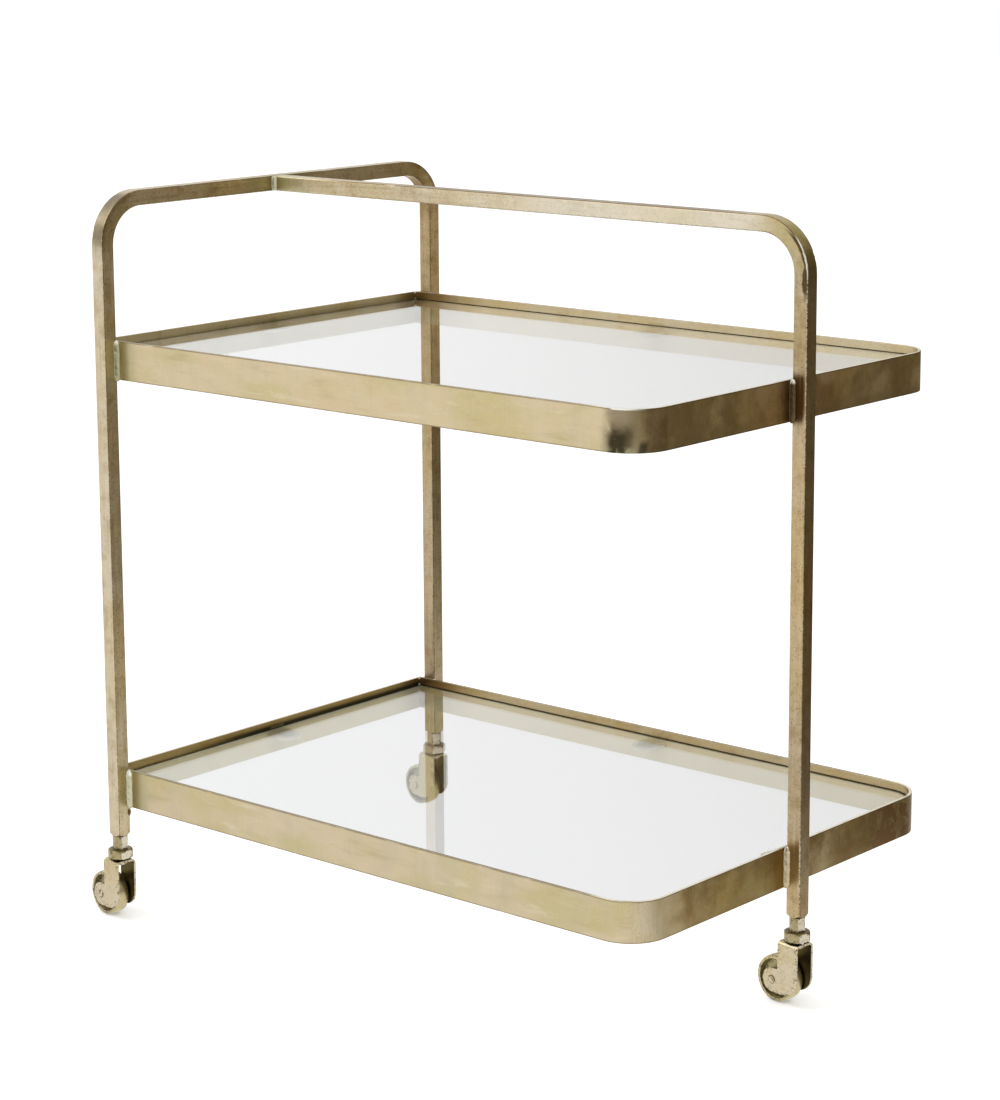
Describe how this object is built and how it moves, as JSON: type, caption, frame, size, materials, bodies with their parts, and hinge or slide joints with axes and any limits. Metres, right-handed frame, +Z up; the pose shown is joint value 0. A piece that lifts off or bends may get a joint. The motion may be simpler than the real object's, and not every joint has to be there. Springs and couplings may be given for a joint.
{
  "type": "bar cart",
  "caption": "Serving trolley with a bent square-tube hoop and handle, two shallow-rimmed glass trays and swivelling metal casters.",
  "frame": {"origin": "on the floor under the middle of the whole cart", "axes": "+X along the cart from the end hoop to the handle's leg, +Y across it from the pictured long side to the far one, +Z up"},
  "size_m": [0.7516, 0.5234, 0.767],
  "materials": {
    "tube_brass": "aged, brushed and lacquered, pale with darker stains",
    "rim_brass": "aged flat bar, brushed, with brown heat stains beside the welds",
    "weld_brass": "pale ground weld beads",
    "caster_brass": "cast and pressed, tumbled, with dark specks",
    "wheel_brass": "cast wheel, dull tread and darker dished web",
    "ball_steel": "polished bearing balls",
    "glass": "clear float glass with ground edges",
    "clear_pad": "clear soft pads"
  },
  "bodies": {
    "frame": {"end_hoop": "tube_brass", "handle_leg": "tube_brass", "handle_weld": "weld_brass", "upper_rim": "rim_brass", "upper_end_bar": "rim_brass", "upper_tray_welds": "weld_brass", "upper_glass_tabs": "rim_brass", "upper_glass_pads": "clear_pad", "lower_rim": "rim_brass", "lower_end_bar": "rim_brass", "lower_tray_welds": "weld_brass", "lower_glass_tabs": "rim_brass", "lower_glass_pads": "clear_pad", "front_leg_plug": "caster_brass", "front_stem": "caster_brass", "front_collar": "caster_brass", "front_balls": "ball_steel", "front_washer": "caster_brass", "back_leg_plug": "caster_brass", "back_stem": "caster_brass", "back_collar": "caster_brass", "back_balls": "ball_steel", "back_washer": "caster_brass", "handle_leg_plug": "caster_brass", "handle_stem": "caster_brass", "handle_collar": "caster_brass", "handle_balls": "ball_steel", "handle_washer": "caster_brass"},
    "upper_glass": {"upper_glass": "glass"},
    "lower_glass": {"lower_glass": "glass"},
    "front_fork": {"front_fork": "caster_brass", "front_axle": "caster_brass"},
    "front_wheel": {"front_wheel": "wheel_brass"},
    "back_fork": {"back_fork": "caster_brass", "back_axle": "caster_brass"},
    "back_wheel": {"back_wheel": "wheel_brass"},
    "handle_fork": {"handle_fork": "caster_brass", "handle_axle": "caster_brass"},
    "handle_wheel": {"handle_wheel": "wheel_brass"}
  },
  "joints": [
    {"name": "upper_glass_lift", "type": "slide", "parent": "frame", "child": "upper_glass", "axis": [0, 0, 1], "range_m": [0, 0.06]},
    {"name": "lower_glass_lift", "type": "slide", "parent": "frame", "child": "lower_glass", "axis": [0, 0, 1], "range_m": [0, 0.06]},
    {"name": "front_swivel", "type": "hinge", "parent": "frame", "child": "front_fork", "pos_m": [-0.32795, -0.247, 0.0648], "axis": [0, 0, 1], "continuous": true},
    {"name": "front_roll", "type": "hinge", "parent": "front_fork", "child": "front_wheel", "pos_m": [-0.34927, -0.24419, 0.0235], "axis": [0.1305, 0.9914, 0], "continuous": true},
    {"name": "back_swivel", "type": "hinge", "parent": "frame", "child": "back_fork", "pos_m": [-0.32795, 0.247, 0.0648], "axis": [0, 0, 1], "continuous": true},
    {"name": "back_roll", "type": "hinge", "parent": "back_fork", "child": "back_wheel", "pos_m": [-0.34927, 0.24981, 0.0235], "axis": [0.1305, 0.9914, 0], "continuous": true},
    {"name": "handle_swivel", "type": "hinge", "parent": "frame", "child": "handle_fork", "pos_m": [0.36555, 0, 0.0648], "axis": [0, 0, 1], "continuous": true},
    {"name": "handle_roll", "type": "hinge", "parent": "handle_fork", "child": "handle_wheel", "pos_m": [0.34423, 0.00281, 0.0235], "axis": [0.1305, 0.9914, 0], "continuous": true}
  ]
}
